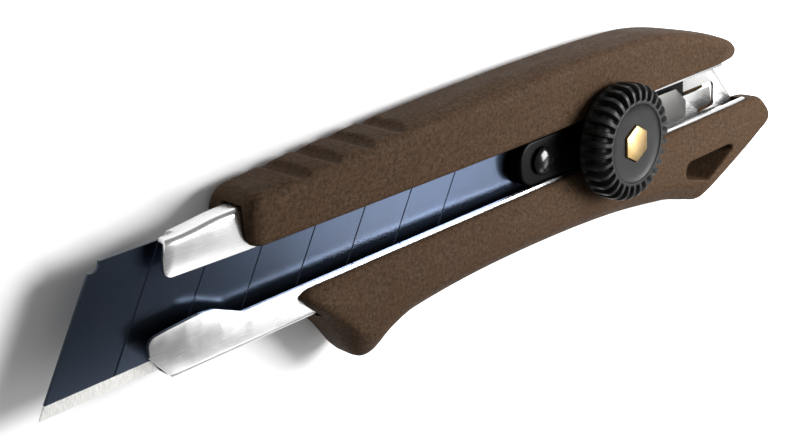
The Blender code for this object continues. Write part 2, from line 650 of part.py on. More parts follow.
def make_wheel(parent):
    crest, floor = wheel_profile()
    rings = []
    for a, b in zip(crest, floor):
        ring = []
        for rib in range(RIBS):
            for share, point in ((-0.25, a), (0.25, a), (0.32, b), (0.68, b)):
                turn = math.tau * (rib + share) / RIBS
                ring.append((point[0] * math.cos(turn), point[0] * math.sin(turn), point[1]))
        rings.append(ring)
    wheel = add_object("lock_wheel", ring_loft("lock_wheel", rings), WHEEL_PLASTIC)
    dish = turned("wheel_dish", (0, 0),
                  [(0, WHEEL_TOP_Z + CUT), (WHEEL_FACE_RADIUS, WHEEL_TOP_Z + CUT),
                   (WHEEL_FACE_RADIUS, WHEEL_TOP_Z - 0.0001),
                   (WHEEL_FACE_RADIUS - 0.0012, WHEEL_TOP_Z - 0.0004),
                   (0, WHEEL_TOP_Z - 0.0006)], sides=60)
    boolean(wheel, dish)
    hex_radius = HEX_ACROSS / math.sqrt(3)
    head_low = WHEEL_TOP_Z - HEX_DEPTH
    pocket = cylinder("wheel_hex_pocket", (0, 0), hex_radius + HEX_GAP * 2 / math.sqrt(3),
                      head_low - FIT_GAP, WHEEL_TOP_Z + CUT, sides=6)
    boolean(wheel, pocket)
    boolean(wheel, cylinder("wheel_bore", (0, 0), BOLT_RADIUS + FIT_GAP, 0, WHEEL_TOP_Z, sides=28))
    head = cylinder("lock_bolt", (0, 0), hex_radius, head_low, WHEEL_TOP_Z - 0.0001, BRASS, 6)
    shank = cylinder("bolt_shank", (0, 0), BOLT_RADIUS, SLEEVE_BACK_IN + 2 * FIT_GAP,
                     head_low + 0.0005, sides=28)
    boolean(head, shank, "UNION")
    washer_high = WASHER_LOW_Z + WASHER_THICK
    hole = BOLT_RADIUS + FIT_GAP
    washer = turned("wheel_washer", (0, 0),
                    [(hole, WASHER_LOW_Z), (hole, washer_high), (WASHER_RADIUS, washer_high),
                     (WASHER_RADIUS, WASHER_LOW_Z), (hole, WASHER_LOW_Z)], PLATE_STEEL)
    for item in (wheel, head, washer):
        item.parent = parent
    for name in ("wheel_dish", "wheel_hex_pocket", "wheel_bore", "bolt_shank"):
        bpy.data.objects[name].parent = parent


def make_shoe(parent):
    low = SLEEVE_BACK_IN + 0.0002
    outline = [(side * SHOE_LENGTH / 2, edge * SHOE_WIDTH / 2, 0.0008)
               for side, edge in ((-1, -1), (1, -1), (1, 1), (-1, 1))]
    shoe = prism("clamp_shoe", rounded(outline), low, low + SHOE_THICK, PLATE_STEEL)
    bore = cylinder("shoe_bore", (0, 0), BOLT_RADIUS + FIT_GAP, -CUT, CUT, sides=28)
    boolean(shoe, bore)
    for item in (shoe, bore):
        item.parent = parent


def empty(name, location, parent=None):
    item = bpy.data.objects.new(name, None)
    PARTS.objects.link(item)
    item.location = location
    item.parent = parent
    return item


def body_bounds():
    """Lowest and highest corner of all the parts, with their modifiers, in modelling axes."""
    bpy.context.view_layer.update()
    graph = bpy.context.evaluated_depsgraph_get()
    low = Vector((1, 1, 1))
    high = Vector((-1, -1, -1))
    for item in PARTS.objects:
        if item.type != "MESH":
            continue
        shape = item.evaluated_get(graph)
        for vert in shape.data.vertices:
            place = item.matrix_world @ vert.co
            low = Vector(map(min, low, place))
            high = Vector(map(max, high, place))
    return low, high


def main():
    datum = empty("knife_datum", (0, 0, 0))
    slider = empty("slider_joint", (0, 0, 0), datum)
    wheel_axis = empty("wheel_joint", (WHEEL_X, MID_Y, 0), slider)
    shoe_axis = empty("shoe_joint", (WHEEL_X, MID_Y, 0), slider)
    make_sleeve()
    make_frame()
    make_skin()
    make_blade()
    make_slider(slider)
    make_wheel(wheel_axis)
    make_shoe(shoe_axis)
    for group in (PARTS, CUTTERS):
        for item in group.objects:
            if item.parent is None and item is not datum:
                item.parent = datum
    low, high = body_bounds()
    datum.location = (-(low.x + high.x) / 2, -(low.y + high.y) / 2, -low.z)
    bpy.context.view_layer.update()


main()
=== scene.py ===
"""Looks of the snap-off utility knife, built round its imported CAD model.

Pieces are modelled in the knife's own axes: X from the blade tip to the tail, Y from the
cutting edge to the spine, Z from the blade's front face up to the lock wheel.  ORIGIN takes
them to the frame, and comes from where the CAD blade is.  Lengths are in metres.
"""
import math

import bmesh
import bpy
from mathutils import Matrix, Vector


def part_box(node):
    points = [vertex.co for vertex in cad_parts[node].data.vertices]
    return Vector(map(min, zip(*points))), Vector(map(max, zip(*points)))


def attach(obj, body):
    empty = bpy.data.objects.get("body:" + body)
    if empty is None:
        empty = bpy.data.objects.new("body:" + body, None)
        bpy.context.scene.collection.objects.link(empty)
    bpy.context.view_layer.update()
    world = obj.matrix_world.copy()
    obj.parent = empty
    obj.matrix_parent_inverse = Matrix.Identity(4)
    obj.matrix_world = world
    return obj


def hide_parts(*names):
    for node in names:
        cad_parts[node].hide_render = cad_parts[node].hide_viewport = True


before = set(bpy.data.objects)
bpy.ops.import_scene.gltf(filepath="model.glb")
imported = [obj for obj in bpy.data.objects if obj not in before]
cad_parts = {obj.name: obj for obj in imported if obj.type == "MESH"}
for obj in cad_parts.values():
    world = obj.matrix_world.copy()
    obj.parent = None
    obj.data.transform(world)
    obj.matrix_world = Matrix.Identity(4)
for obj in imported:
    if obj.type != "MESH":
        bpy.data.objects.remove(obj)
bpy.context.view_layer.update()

# ---- Sizes shared with the CAD model --------------------------------------
BLADE_TIP_X = 0.0005
BLADE_LENGTH = 0.100
BLADE_WIDTH = 0.018
BLADE_THICK = 0.0005
BLADE_ANGLE = math.radians(59)
BLADE_PITCH = 0.010
BLADE_SCORES = 7
SCORE_DEPTH = 0.00012
SCORE_WIDTH = 0.00026
GRIND_WIDTH = 0.0019
EDGE_LAND = 0.00005
SPINE_NOTCH = 0.0012
SHEET = 0.0006
BACK_IN = -0.00062
BACK_OUT = BACK_IN - SHEET
LIP_IN = 0.0022
LIP_OUT = LIP_IN + SHEET
SIDE_LOW_IN = -0.00015
SIDE_HIGH_IN = BLADE_WIDTH + 0.00015
BEND = 0.0011
SLOT_LOW_Y = 0.0047
SLOT_HIGH_Y = 0.0133
NOSE_X = 0.0157
TAIL_X = 0.1662
TAIL_SLANT = 0.93
TAIL_TOP_CUT = 0.0028
FLARE = 0.0008
FIT_GAP = 0.0003
CUT = 0.010
BACK_Z = -0.0062
MID_Y = BLADE_WIDTH / 2
WHEEL_X = 0.1123
WHEEL_RADIUS = 0.0105
WHEEL_BOTTOM_Z = 0.0058
WHEEL_TOP_Z = 0.0112
WHEEL_FACE_RADIUS = 0.00715
RIBS = 30
RIB_DEPTH = 0.0011
HEX_ACROSS = 0.0058
HEX_DEPTH = 0.0020
HEX_GAP = 0.00015
BOLT_RADIUS = 0.0020
SLIDER_NOSE_X = 0.0902
RIDGE_REAR_X = 0.1250
SLIDER_REAR_X = 0.1420
RIDGE_TOP_Z = 0.0029
PLATE_SEAT_Z = 0.0009
PLATE_HALF = 0.0039
PLATE_THICK = 0.0005
BOSS_RADIUS = 0.0042
BOSS_TOP_Z = 0.0046
STUD_X = 0.0958
STUD_RADIUS = 0.0022
STUD_HEAD_RADIUS = 0.0025
GRIP_VOXEL = 0.0003

# ---- Roundings and joins ----------------------------------------------------
BLADE_ROUND = 0.00003
SHEET_ROUND = 0.00012
PLATE_ROUND = 0.00010
RIDGE_ROUND = 0.0005
HEX_ROUND = 0.00012
JOIN_LAP = 0.00001
CUT_PAST = 0.001

ORIGIN = Vector(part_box("blade")[0]) - Vector((BLADE_TIP_X, 0, -BLADE_THICK))


# ---- Mesh helpers -----------------------------------------------------------
def new_object(name, mesh):
    """Add an object of this mesh to the scene."""
    item = bpy.data.objects.new(name, mesh)
    bpy.context.scene.collection.objects.link(item)
    return item


def mesh_from(name, verts, faces):
    """Mesh of these points and faces, turned outwards."""
    mesh = bpy.data.meshes.new(name)
    mesh.from_pydata([tuple(v) for v in verts], [], faces)
    work = bmesh.new()
    work.from_mesh(mesh)
    bmesh.ops.recalc_face_normals(work, faces=work.faces)
    if work.calc_volume(signed=True) < 0:
        bmesh.ops.reverse_faces(work, faces=work.faces)
    work.to_mesh(mesh)
    work.free()
    return mesh


def baked(item):
    """Replace an object's mesh by what its modifiers make of it."""
    graph = bpy.context.evaluated_depsgraph_get()
    result = bpy.data.meshes.new_from_object(item.evaluated_get(graph))
    item.modifiers.clear()
    item.data = result
    return item


def carve(item, cutters, kind="DIFFERENCE"):
    """Cut the cutters out of a piece, or join them to it, and remove them."""
    for cutter in cutters:
        mod = item.modifiers.new(cutter.name, "BOOLEAN")
        mod.operation = kind
        mod.solver = "EXACT"
        mod.object = cutter
    baked(item)
    for cutter in cutters:
        bpy.data.objects.remove(cutter, do_unlink=True)
    return item


def soften(item, width, segments=2, angle=30):
    """Round a piece's sharp edges a little."""
    mod = item.modifiers.new("edge_round", "BEVEL")
    mod.width = width
    mod.segments = segments
    mod.limit_method = "ANGLE"
    mod.angle_limit = math.radians(angle)
    return baked(item)


def finish_piece(item, mat, body, nodes=(), smooth=32):
    """Bring a piece into the frame and say what it is made of, rides on and stands for."""
    item.data.transform(Matrix.Translation(ORIGIN))
    item.data.materials.clear()
    item.data.materials.append(mat)
    item.data.shade_smooth()
    item.data.set_sharp_from_angle(angle=math.radians(smooth))
    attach(item, body)
    if nodes:
        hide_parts(*nodes)
    return item


def rounded(corners, segments=8):
    """Round each corner (u, v, radius) of a closed outline with an arc."""
    points = []
    count = len(corners)
    for i, (u, v, radius) in enumerate(corners):
        here = Vector((u, v))
        before = Vector(corners[i - 1][:2]) - here
        after = Vector(corners[(i + 1) % count][:2]) - here
        if radius <= 0:
            points.append(here)
            continue
        half = before.angle(after) / 2
        reach = min(radius / math.tan(half), 0.45 * before.length, 0.45 * after.length)
        start = here + before.normalized() * reach
        end = here + after.normalized() * reach
        middle = (before.normalized() + after.normalized()).normalized()
        centre = here + middle * (reach / math.cos(half))
        arm_a = start - centre
        arm_b = end - centre
        sweep = arm_a.angle(arm_b)
        for k in range(segments + 1):
            share = k / segments
            mix = arm_a * math.sin((1 - share) * sweep) + arm_b * math.sin(share * sweep)
            points.append(centre + mix / math.sin(sweep))
    return points


def spline(stations, x):
    """Smooth value at x through (x, value) stations (Catmull-Rom with clamped ends)."""
    if x <= stations[0][0]:
        return stations[0][1]
    if x >= stations[-1][0]:
        return stations[-1][1]
    i = max(k for k in range(len(stations) - 1) if stations[k][0] <= x)
    x0, y0 = stations[i]
    x1, y1 = stations[i + 1]
    span = x1 - x0

    def slope(k):
        low = max(k - 1, 0)
        high = min(k + 1, len(stations) - 1)
        return (stations[high][1] - stations[low][1]) / (stations[high][0] - stations[low][0])

    t = (x - x0) / span
    a = slope(i) * span
    b = slope(i + 1) * span
    return ((2 * t ** 3 - 3 * t ** 2 + 1) * y0 + (t ** 3 - 2 * t ** 2 + t) * a
            + (3 * t ** 2 - 2 * t ** 3) * y1 + (t ** 3 - t ** 2) * b)


def ring_loft(name, rings):
    """Skin a closed body over rings of equal point counts."""
    count = len(rings[0])
    verts = [point for ring in rings for point in ring]
    faces = []
    for r in range(len(rings) - 1):
        for k in range(count):
            nxt = (k + 1) % count
            faces.append((r * count + k, r * count + nxt,
                          (r + 1) * count + nxt, (r + 1) * count + k))
    faces.append(tuple(range(count)))
    last = (len(rings) - 1) * count
    faces.append(tuple(last + k for k in range(count)))
    return new_object(name, mesh_from(name, verts, faces))


def prism(name, outline, z_low, z_high):
    """Upright body of an (x, y) outline."""
    return ring_loft(name, [[(p[0], p[1], z) for p in outline] for z in (z_low, z_high)])


def box(name, low, high):
    """Block between two corners."""
    corners = [(low[0], low[1]), (high[0], low[1]), (high[0], high[1]), (low[0], high[1])]
    return prism(name, corners, low[2], high[2])


def cylinder(name, centre, radius, z_low, z_high, sides=64):
    """Upright prism; with six sides it has points towards +Y and -Y."""
    outline = []
    for k in range(sides):
        turn = math.tau * k / sides
        outline.append((centre[0] + radius * math.sin(turn), centre[1] + radius * math.cos(turn)))
    return prism(name, outline, z_low, z_high)


def turned(name, centre, profile, sides=96):
    """Closed body turned about Z from (radius, z) points, none of them on the axis."""
    rings = []
    for radius, z in profile:
        rings.append([(centre[0] + radius * math.cos(math.tau * k / sides),
                       centre[1] + radius * math.sin(math.tau * k / sides), z)
                      for k in range(sides)])
    return ring_loft(name, rings)


# ---- Material helpers -------------------------------------------------------
class Finish:
    """A Principled material under construction; positions are object coordinates."""

    def __init__(self, name, color, rough, metal=0.0):
        self.mat = bpy.data.materials.new(name)
        self.mat.use_nodes = True
        self.tree = self.mat.node_tree
        self.shader = self.tree.nodes["Principled BSDF"]
        self.shader.inputs["Base Color"].default_value = (*color, 1)
        self.shader.inputs["Roughness"].default_value = rough
        self.shader.inputs["Metallic"].default_value = metal
        self.place = self.tree.nodes.new("ShaderNodeTexCoord").outputs["Object"]

    def put(self, socket, value):
        """Set a socket to a number or a colour, or link another socket to it."""
        if isinstance(value, (int, float)):
            socket.default_value = value
        elif isinstance(value, tuple):
            socket.default_value = (*value, 1)[:len(socket.default_value)]
        else:
            self.tree.links.new(value, socket)

    def stretched(self, factors):
        """Position with each axis scaled, so that a pattern on it is drawn out."""
        node = self.tree.nodes.new("ShaderNodeVectorMath")
        node.operation = "MULTIPLY"
        self.tree.links.new(self.place, node.inputs[0])
        node.inputs[1].default_value = factors
        return node.outputs[0]

    def noise(self, size, detail=2.0, stretch=(1, 1, 1), rough=0.5):
        """Noise with features of about the given size."""
        node = self.tree.nodes.new("ShaderNodeTexNoise")
        node.inputs["Scale"].default_value = 1 / size
        node.inputs["Detail"].default_value = detail
        node.inputs["Roughness"].default_value = rough
        self.tree.links.new(self.stretched(stretch), node.inputs["Vector"])
        return node.outputs["Fac"]

    def cells(self, size):
        """Distance from the middle of cells of about the given size."""
        node = self.tree.nodes.new("ShaderNodeTexVoronoi")
        node.inputs["Scale"].default_value = 1 / size
        self.tree.links.new(self.place, node.inputs["Vector"])
        return node.outputs["Distance"]

    def combine(self, operation, a, b=0.0):
        node = self.tree.nodes.new("ShaderNodeMath")
        node.operation = operation
        self.put(node.inputs[0], a)
        self.put(node.inputs[1], b)
        return node.outputs[0]

    def ranged(self, value, low, high, new_low=0.0, new_high=1.0):
        """Stretch low..high to new_low..new_high, and stop at both ends."""
        node = self.tree.nodes.new("ShaderNodeMapRange")
        self.put(node.inputs["Value"], value)
        node.inputs["From Min"].default_value = low
        node.inputs["From Max"].default_value = high
        node.inputs["To Min"].default_value = new_low
        node.inputs["To Max"].default_value = new_high
        return node.outputs["Result"]

    def axis(self, name):
        """A coordinate of the surface in the knife's own axes."""
        node = self.tree.nodes.new("ShaderNodeSeparateXYZ")
        self.tree.links.new(self.place, node.inputs[0])
        return self.combine("SUBTRACT", node.outputs[name], ORIGIN["XYZ".index(name)])

    def blend(self, share, a, b):
        """Colour that goes from a to b as share goes from 0 to 1."""
        node = self.tree.nodes.new("ShaderNodeMix")
        node.data_type = "RGBA"
        self.put(node.inputs[0], share)
        self.put(node.inputs[6], a)
        self.put(node.inputs[7], b)
        return node.outputs[2]

    def color(self, value):
        self.put(self.shader.inputs["Base Color"], value)

    def rough(self, value):
        self.put(self.shader.inputs["Roughness"], value)

    def bump(self, height, depth, strength=1.0, under=None):
        node = self.tree.nodes.new("ShaderNodeBump")
        node.inputs["Distance"].default_value = depth
        node.inputs["Strength"].default_value = strength
        self.tree.links.new(height, node.inputs["Height"])
        if under:
            self.tree.links.new(under, node.inputs["Normal"])
        self.tree.links.new(node.outputs[0], self.shader.inputs["Normal"])
        return node.outputs[0]


def grip_material():
    """Speckled brown rubber with a fine grain."""
    finish = Finish("grip_elastomer", (0.075, 0.05, 0.036), 0.72)
    speck = finish.noise(0.00060, 3.0, rough=0.75)
    patch = finish.noise(0.006, 3.0)
    dark = (0.019, 0.0112, 0.0064)
    light = (0.074, 0.0440, 0.0255)
    tone = finish.blend(finish.ranged(speck, 0.3, 0.7), dark, light)
    tint = finish.blend(finish.ranged(patch, 0.3, 0.7, 0.0, 0.35), tone, (0.050, 0.028, 0.015))
    finish.color(tint)
    finish.rough(finish.ranged(patch, 0.2, 0.8, 0.62, 0.8))
    finish.shader.inputs["Specular IOR Level"].default_value = 0.06
    grain = finish.noise(0.0003, 4.0, rough=0.65)
    finish.bump(grain, 0.00012, 0.9, under=finish.bump(finish.cells(0.0007), 0.00006, 0.4))
    return finish.mat


def black_material(name, tone, rough, gloss):
    """Moulded black plastic, a little worn."""
    finish = Finish(name, (tone, tone, tone), rough)
    texture = finish.noise(0.0005, 3.0)
    wear = finish.noise(0.004, 4.0)
    finish.color(finish.blend(finish.ranged(wear, 0.35, 0.75), (tone * 0.6,) * 3, (tone * 1.7,) * 3))
    finish.rough(finish.ranged(wear, 0.3, 0.7, rough - 0.06, rough + 0.1))
    finish.bump(texture, 0.00002, 0.5)
    finish.shader.inputs["Specular IOR Level"].default_value = gloss
    return finish.mat


def steel_material(name, tone, rough):
    """Sheet metal with faint lines along X and soft smudges."""
    finish = Finish(name, tone, rough, 1.0)
    lines = finish.noise(0.00012, 3.0, stretch=(0.02, 1, 1))
    smudge = finish.noise(0.007, 4.0)
    low = tuple(0.9 * part for part in tone)
    finish.color(finish.blend(finish.ranged(smudge, 0.3, 0.7), low, tone))
    finish.rough(finish.combine("ADD", finish.ranged(lines, 0.3, 0.7, rough - 0.02, rough + 0.02),
                             finish.ranged(smudge, 0.3, 0.7, -0.03, 0.04)))
    finish.bump(lines, 0.000003, 0.25)
    return finish.mat


def blade_material():
    """Blue-black oxide with a bright ground bevel along the cutting edge, and a painted reflection
    that lightens the oxide from the tip towards the rear.
    """
    finish = Finish("blade_steel", (0.03, 0.045, 0.08), 0.24, 1.0)
    along = finish.axis("X")
    across = finish.axis("Y")
    ripple = finish.noise(0.0012, 2.0)
    edge_line = finish.combine("ADD", across, finish.ranged(ripple, 0, 1, -0.00004, 0.00004))
    ground = finish.ranged(edge_line, GRIND_WIDTH + 0.00002, GRIND_WIDTH - 0.00006)
    cloud = finish.noise(0.012, 3.0)
    lines = finish.noise(0.00010, 3.0, stretch=(1, 0.03, 1))
    # Painted reflection: the oxide goes from darker at the tip to lighter at the rear along X,
    # standing in for the lit surround mirrored in the blade.
    front = (0.032, 0.043, 0.062)
    rear = (0.066, 0.088, 0.136)
    oxide_and_painted_reflection = finish.blend(finish.ranged(along, 0.010, 0.060), front, rear)
    oxide_and_painted_reflection = finish.blend(finish.ranged(cloud, 0.35, 0.7, 0.0, 0.3), oxide_and_painted_reflection, (0.05, 0.055, 0.07))
    bright = finish.blend(finish.ranged(lines, 0.3, 0.7), (0.62, 0.62, 0.60), (0.9, 0.89, 0.87))
    finish.color(finish.blend(ground, oxide_and_painted_reflection, bright))
    finish.rough(finish.ranged(ground, 0, 1, 0.24, 0.42))
    finish.bump(lines, 0.000006, 0.4)
    return finish.mat


def brass_material():
    """Turned brass with fine lines."""
    finish = Finish("brass", (0.76, 0.56, 0.28), 0.36, 1.0)
    lines = finish.noise(0.00012, 3.0, stretch=(1, 0.04, 1))
    smudge = finish.noise(0.002, 3.0)
    finish.color(finish.blend(finish.ranged(smudge, 0.3, 0.7), (0.36, 0.24, 0.10), (0.46, 0.33, 0.16)))
    finish.rough(finish.ranged(lines, 0.3, 0.7, 0.3, 0.44))
    finish.bump(lines, 0.000008, 0.4)
    return finish.mat


GRIP = grip_material()
BLACK = black_material("black_plastic", 0.0015, 0.34, 0.05)
STUD = black_material("stud_plastic", 0.002, 0.16, 0.40)
WHEEL = black_material("wheel_plastic", 0.009, 0.42, 0.18)
SLEEVE = steel_material("sleeve_steel", (0.80, 0.80, 0.80), 0.26)
PLATE = steel_material("plate_steel", (0.10, 0.098, 0.095), 0.42)
BLADE = blade_material()
BRASS = brass_material()


# ---- Blade --------------------------------------------------------------------
def shear(y):
    """How far the slanted blade leans along X at height y."""
    return y / math.tan(BLADE_ANGLE)


def make_blade():
    mid = -BLADE_THICK / 2
    section = [(0, mid - EDGE_LAND / 2), (GRIND_WIDTH, -BLADE_THICK), (BLADE_WIDTH, -BLADE_THICK),
               (BLADE_WIDTH, 0), (GRIND_WIDTH, 0), (0, mid + EDGE_LAND / 2)]
    rings = [[(BLADE_TIP_X + along + shear(y), y, z) for y, z in section]
             for along in (0, BLADE_LENGTH)]
    blade = ring_loft("snap_blade", rings)
    corner = BLADE_TIP_X + shear(BLADE_WIDTH)
    notch_middle = (corner - 0.0002, BLADE_WIDTH - 0.0001)
    cutters = [cylinder("notch", notch_middle, SPINE_NOTCH, -CUT, CUT),
               cylinder("hole", (STUD_X, MID_Y), STUD_RADIUS + FIT_GAP, -CUT, CUT)]
    for k in range(1, BLADE_SCORES + 1):
        start = BLADE_TIP_X + k * BLADE_PITCH
        rings = []
        for y in (GRIND_WIDTH, BLADE_WIDTH + CUT_PAST):
            x = start + shear(y)
            rings.append([(x - SCORE_WIDTH, y, SCORE_DEPTH), (x, y, -SCORE_DEPTH),
                          (x + SCORE_WIDTH, y, SCORE_DEPTH)])
        cutters.append(ring_loft(f"score_{k}", rings))
    carve(blade, cutters)
    soften(blade, BLADE_ROUND, 1)
    return finish_piece(blade, BLADE, "slider", ("blade",), smooth=12)


# ---- Steel sleeve ---------------------------------------------------------------
NOSE_CLEAR_X = NOSE_X - 0.006
BELOW_Y = -0.0030
ABOVE_Y = 0.0215
LOW_LIP_END = ((NOSE_CLEAR_X, BELOW_Y, 0), (NOSE_X + 0.0033, BELOW_Y, 0),
               (NOSE_X + 0.0033, -0.0008, 0), (NOSE_X, 0.0036, 0.0008))
OPEN_LEVEL_Z = 0.0010
FLARE_START_X = 0.0220
FLARE_END_X = 0.0310
FLARE_STEPS = 6
TAIL_BREAK_Y = 0.0125


def rect_ring(x, low_y, high_y, low_z, high_z, radius):
    """Ring of the sleeve's rounded rectangular section at x."""
    corners = [(low_y, low_z, radius), (high_y, low_z, radius), (high_y, high_z, radius),
               (low_y, high_z, radius)]
    return [(x, p[0], p[1]) for p in rounded(corners)]


def tail_line(y, inset=0.0):
    """X of the slanted rear end of the sleeve at height y."""
    return TAIL_X - inset - TAIL_SLANT * y


def tail_outline(inset, low_y, high_y, start_x):
    """Outline from start_x back to the sleeve's slanted tail."""
    return [(start_x, low_y), (tail_line(low_y, inset), low_y),
            (tail_line(TAIL_BREAK_Y, inset), TAIL_BREAK_Y),
            (tail_line(high_y, inset) - TAIL_TOP_CUT, high_y), (start_x, high_y)]


def slot_outline():
    """The open slot between the lips, with the lips' free front ends."""
    far = TAIL_X + 0.005
    return rounded([*LOW_LIP_END,
                    (NOSE_X + 0.0001, 0.0062, 0.0024), (0.0190, 0.0066, 0.004),
                    (0.0243, 0.0070, 0.003), (0.0266, 0.0067, 0.0015),
                    (0.0311, SLOT_LOW_Y, 0.0020), (far, SLOT_LOW_Y, 0), (far, SLOT_HIGH_Y, 0),
                    (0.0330, SLOT_HIGH_Y, 0.02), (0.0196, 0.0136, 0.0017),
                    (0.0198, 0.0163, 0.003), (0.0218, ABOVE_Y, 0), (NOSE_CLEAR_X, ABOVE_Y, 0)])


def back_outline():
    """Everything ahead of the back wall's front edge."""
    return rounded([*LOW_LIP_END,
                    (NOSE_X + 0.0003, 0.0060, 0.002), (0.0205, 0.0136, 0.003),
                    (0.0230, 0.0180, 0.002), (0.0234, ABOVE_Y, 0), (NOSE_CLEAR_X, ABOVE_Y, 0)])


def tongue_outline():
    """U-shaped slot round the tongue of the back wall."""
    left = 0.1440
    right = 0.1556
    low = 0.0038
    high = 0.0094
    width = 0.0009
    low_left = left + 0.0060
    return rounded([(left, high, 0), (left, high - width, 0),
                    (right - width - 0.0006, high - width, 0.0006),
                    (right - width, low + width, 0.0005), (low_left, low + width, 0),
                    (low_left, low, 0), (right, low, 0.0008), (right, high, 0.0016)])


def sleeve_shell(name, low, high, back, lip, radius, reach):
    """Rounded box that widens by the flare behind the nose and reaches past both ends."""
    rings = [rect_ring(NOSE_X - reach, low, high, back, lip, radius)]
    for k in range(FLARE_STEPS + 1):
        share = k / FLARE_STEPS
        eased = share * share * (3 - 2 * share)
        x = FLARE_START_X + (FLARE_END_X - FLARE_START_X) * share
        rings.append(rect_ring(x, low, high + FLARE * eased, back, lip, radius))
    rings.append(rect_ring(TAIL_X + reach, low, high + FLARE, back, lip, radius))
    return ring_loft(name, rings)


def make_sleeve():
    low_out = SIDE_LOW_IN - SHEET
    high_out = SIDE_HIGH_IN + SHEET
    sleeve = sleeve_shell("folded_sleeve", low_out, high_out, BACK_OUT, LIP_OUT, BEND, 0.003)
    carve(sleeve, [sleeve_shell("inside", SIDE_LOW_IN, SIDE_HIGH_IN, BACK_IN, LIP_IN,
                                BEND - SHEET, 0.005)])
    carve(sleeve, [prism("slot", slot_outline(), OPEN_LEVEL_Z, CUT),
                   prism("front", back_outline(), -CUT, OPEN_LEVEL_Z),
                   prism("tongue", tongue_outline(), -CUT, 0)])
    keep = tail_outline(0, low_out - CUT_PAST, high_out + FLARE + CUT_PAST, NOSE_X - 0.004)
    carve(sleeve, [prism("tail", keep, -CUT, CUT)], "INTERSECT")
    soften(sleeve, SHEET_ROUND, 2, 50)
    return finish_piece(sleeve, SLEEVE, "handle", ("steel_sleeve",), smooth=40)


# ---- Grip -----------------------------------------------------------------------
UPPER_NOSE_X = 0.0327
LOWER_NOSE_X = 0.0404
UPPER_TAIL_X = 0.1575
TAIL_END_X = 0.1691
NOSE_ROUND = 0.0024
NOSE_INSET = 0.6
UPPER_EDGE_Z = 0.0044
LOWER_EDGE_Z = 0.0036
UPPER_FACE_Z = 0.0060
LOWER_FACE_Z = 0.0052
UPPER_EDGE_Y = 0.0135
LOWER_EDGE_Y = 0.0042
GROOVE_XS = (0.0424, 0.0485, 0.0549, 0.0618)
GROOVE_RADIUS = 0.0019
GROOVE_DEPTH = 0.0009
UPPER_STEPS = 110
LOWER_STEPS = 120
NOSE_STEPS = 10
WEB_TOP_Z = -0.0023
UPPER_TOP = ((UPPER_NOSE_X, 0.0214), (0.0610, 0.0238), (0.0934, 0.0254), (0.1212, 0.0257),
             (0.1310, 0.0249), (0.1435, 0.0221), (0.1530, 0.0190), (0.1568, 0.0168),
             (UPPER_TAIL_X, 0.0158))
UPPER_EDGE = ((UPPER_NOSE_X, UPPER_EDGE_Y), (0.0850, 0.0134), (0.1390, 0.0140),
              (UPPER_TAIL_X, 0.0140))
UPPER_SINK = ((0.1200, 0.0), (0.1500, 0.0007), (UPPER_TAIL_X, 0.0018))
UPPER_LIFT = ((0.1435, 0.0), (UPPER_TAIL_X, 0.0035))
CREASE_DROP = ((UPPER_NOSE_X, 0.0004), (0.0500, 0.0005), (0.0830, 0.0013), (0.1040, 0.0008),
               (UPPER_TAIL_X, 0.0006))
LOWER_BOTTOM = ((LOWER_NOSE_X, 0.0030), (0.0450, -0.0020), (0.0480, -0.0060), (0.0502, -0.0096),
                (0.0519, -0.0112), (0.0541, -0.0113), (0.0580, -0.0091), (0.0637, -0.0073),
                (0.0843, -0.0062), (0.1122, -0.0072), (0.1333, -0.0100), (0.1422, -0.0125),
                (0.1466, -0.0134), (0.1580, -0.0089), (0.1673, -0.0039), (TAIL_END_X, -0.0010))
LOWER_EDGE = ((LOWER_NOSE_X, 0.0039), (0.0440, LOWER_EDGE_Y), (0.1590, LOWER_EDGE_Y),
              (0.1655, LOWER_EDGE_Y), (0.1672, 0.0034), (0.1684, 0.0022), (TAIL_END_X, 0.0008))
LANYARD_HOLE = ((0.1369, -0.0058, 0.0014), (0.1376, -0.0027, 0.0016), (0.1526, -0.0027, 0.0007),
                (0.1550, -0.0037, 0.0010), (0.1455, -0.0084, 0.0014))
BACK_LIFT = ((0.1480, 0.0), (0.1600, 0.0024), (TAIL_END_X, 0.0044))
TAIL_BACK_ROUND = ((0.1560, 0.0002), (0.1600, 0.0033))


def upper_section(x, inset):
    """Ring of the upper rail at x, drawn in by the inset."""
    top = spline(UPPER_TOP, x)
    low = spline(UPPER_EDGE, x)
    squeeze = min(inset, 0.2 * (top - low))
    top -= squeeze
    low += squeeze
    edge = UPPER_EDGE_Z - inset - spline(UPPER_SINK, x)
    face = min(UPPER_FACE_Z - inset, edge + 0.4 * (top - low))
    back = BACK_Z + inset + spline(UPPER_LIFT, x)
    crease = max(top - spline(CREASE_DROP, x), (top + low) / 2)
    shoulder = max(top - 0.0030, (top + low) / 2)
    corners = [(low, back, 0.0002), (low, edge, 0.0009), (crease, face, 0.0022),
               (top, min(0.0020, edge), 0.0060), (top - 0.0001, back + 0.0020, 0.0028),
               (shoulder, back, 0.0030)]
    return [(x, p[0], p[1]) for p in rounded(corners)]


def lower_section(x, inset):
    """Ring of the lower rail at x, drawn in by the inset."""
    high = spline(LOWER_EDGE, x)
    low = spline(LOWER_BOTTOM, x)
    squeeze = min(inset, 0.2 * (high - low))
    high -= squeeze
    low += squeeze
    back = BACK_Z + inset + spline(BACK_LIFT, x)
    edge = LOWER_EDGE_Z - inset
    face = min(LOWER_FACE_Z, LOWER_EDGE_Z + 0.3 * (high - low)) - inset
    belly = high - 0.35 * (high - low)
    shin = low + 0.25 * (high - low)
    corners = [(high, back, spline(TAIL_BACK_ROUND, x)), (shin, back, 0.0030),
               (low, back + 0.0030, 0.0030), (low, 0.0022, 0.0030), (shin, face, 0.0040),
               (belly, face, 0.0040), (high, edge, 0.0008)]
    return [(x, p[0], p[1]) for p in rounded(corners)]


